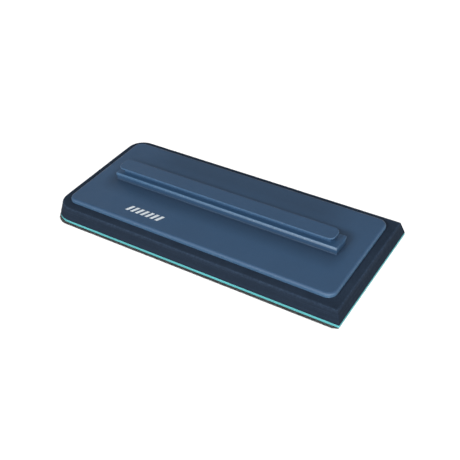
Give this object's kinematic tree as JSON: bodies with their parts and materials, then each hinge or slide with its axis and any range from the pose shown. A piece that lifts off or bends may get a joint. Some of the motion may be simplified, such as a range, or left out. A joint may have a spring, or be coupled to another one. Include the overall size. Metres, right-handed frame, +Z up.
{
  "type": "grout float",
  "caption": "Low rectangular grout float head: rubber face on a dark foam pad, coated backing plate and a central grooved rail for a slide-on handle.",
  "frame": {"origin": "centre of the sole's working face, at the bottom of the float", "axes": "+X along the length towards the square-cornered toe, +Y across the width, +Z up out of the plate"},
  "size_m": [0.24, 0.11, 0.0264],
  "materials": {
    "sole_rubber": "matt teal rubber",
    "adhesive": "pale adhesive sheet",
    "pad_foam": "closed-cell foam with a fine cut grain",
    "blue_coating": "satin blue coating",
    "screw_steel": "zinc-plated"
  },
  "bodies": {
    "root": {"rubber_sole": "sole_rubber", "sole_adhesive": "adhesive", "foam_pad": "pad_foam", "plate_adhesive": "adhesive", "backing_plate": "blue_coating", "handle_rail": "blue_coating", "rail_screw_1": "screw_steel", "rail_screw_2": "screw_steel", "rail_screw_3": "screw_steel", "rail_screw_4": "screw_steel", "rail_screw_5": "screw_steel"}
  },
  "joints": []
}
